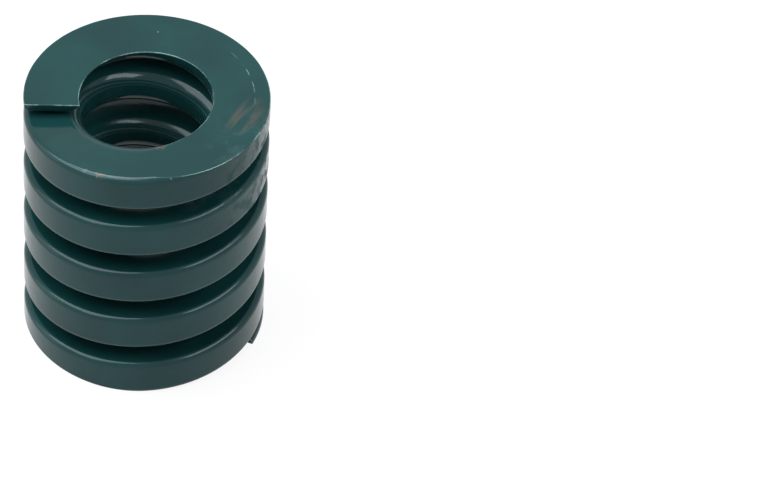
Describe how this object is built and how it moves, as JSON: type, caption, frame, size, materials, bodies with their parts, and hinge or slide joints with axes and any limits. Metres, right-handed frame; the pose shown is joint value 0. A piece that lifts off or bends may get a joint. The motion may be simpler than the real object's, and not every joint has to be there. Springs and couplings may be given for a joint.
{
  "type": "die spring",
  "caption": "Heavy rectangular-wire compression spring with closed, ground ends and a gloss green paint finish.",
  "frame": {"origin": "on the coil's axis, in the plane of the lower ground end", "axes": "+Z along the coil's axis, towards the upper ground end; the upper tip's cut face looks towards -Y"},
  "size_m": [0.0498, 0.0498, 0.0594],
  "materials": {
    "green_paint": "gloss"
  },
  "bodies": {
    "root": {"spring_coil": "green_paint"}
  },
  "joints": []
}
